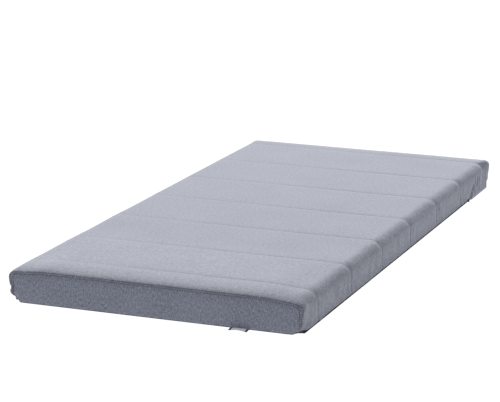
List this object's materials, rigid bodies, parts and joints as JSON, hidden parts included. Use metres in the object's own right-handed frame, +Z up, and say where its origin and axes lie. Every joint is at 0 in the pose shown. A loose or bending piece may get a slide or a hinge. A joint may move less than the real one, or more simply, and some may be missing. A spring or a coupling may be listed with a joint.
{
  "type": "foam mattress",
  "caption": "Thin foam mattress in a quilted woven cover with a dark zip round the lower edge, a folded label at the foot end and a zip slider that runs along one side.",
  "frame": {"origin": "middle of the underside, the face that the mattress lies on", "axes": "+X across the bed towards the side with the zip slider, +Y along the bed towards the head end, +Z up; the foot end, with the label, faces -Y"},
  "size_m": [0.9094, 2.0172, 0.1],
  "materials": {
    "cover_fabric": "matte",
    "wadding": "matte",
    "backing": "matte",
    "lining": "matte",
    "memory_foam": "matte",
    "base_foam": "matte",
    "underside_fabric": "matte",
    "quilting_thread": "satin",
    "seam_thread": "satin",
    "zip_tape": "matte",
    "zip_coil": "satin",
    "zip_metal": "satin",
    "end_label": "satin",
    "care_label": "satin"
  },
  "bodies": {
    "mattress": {"top_panel": "cover_fabric", "foot_end_panel": "cover_fabric", "head_end_panel": "cover_fabric", "top_wadding": "wadding", "foot_end_wadding": "wadding", "head_end_wadding": "wadding", "top_backing": "backing", "foot_end_backing": "backing", "head_end_backing": "backing", "core_lining": "lining", "memory_foam_layer": "memory_foam", "base_foam_layer": "base_foam", "underside_panel": "underside_fabric", "quilting_stitch_row_1": "quilting_thread", "quilting_stitch_row_2": "quilting_thread", "quilting_stitch_row_3": "quilting_thread", "quilting_stitch_row_4": "quilting_thread", "quilting_stitch_row_5": "quilting_thread", "quilting_stitch_row_6": "quilting_thread", "quilting_stitch_row_7": "quilting_thread", "zip_upper_stitching": "quilting_thread", "foot_end_topstitching": "seam_thread", "head_end_topstitching": "seam_thread", "zip_lower_stitching": "seam_thread", "zip_upper_tape": "zip_tape", "zip_lower_tape": "zip_tape", "zip_upper_coil": "zip_coil", "zip_lower_coil": "zip_coil", "zip_top_stops": "zip_metal", "zip_bottom_stop": "zip_metal", "end_label": "end_label", "care_label": "care_label"},
    "slider": {"zip_slider": "zip_metal"},
    "pull_tab": {"zip_pull_tab": "zip_metal"}
  },
  "joints": [
    {"name": "zip_slide", "type": "slide", "parent": "mattress", "child": "slider", "axis": [0, -1, 0], "range_m": [0, 1.69]},
    {"name": "pull_tab_swing", "type": "hinge", "parent": "slider", "child": "pull_tab", "pos_m": [0.4479, 0.7335, 0.0062], "axis": [0, 0, 1], "range_deg": [-38, 142]}
  ]
}
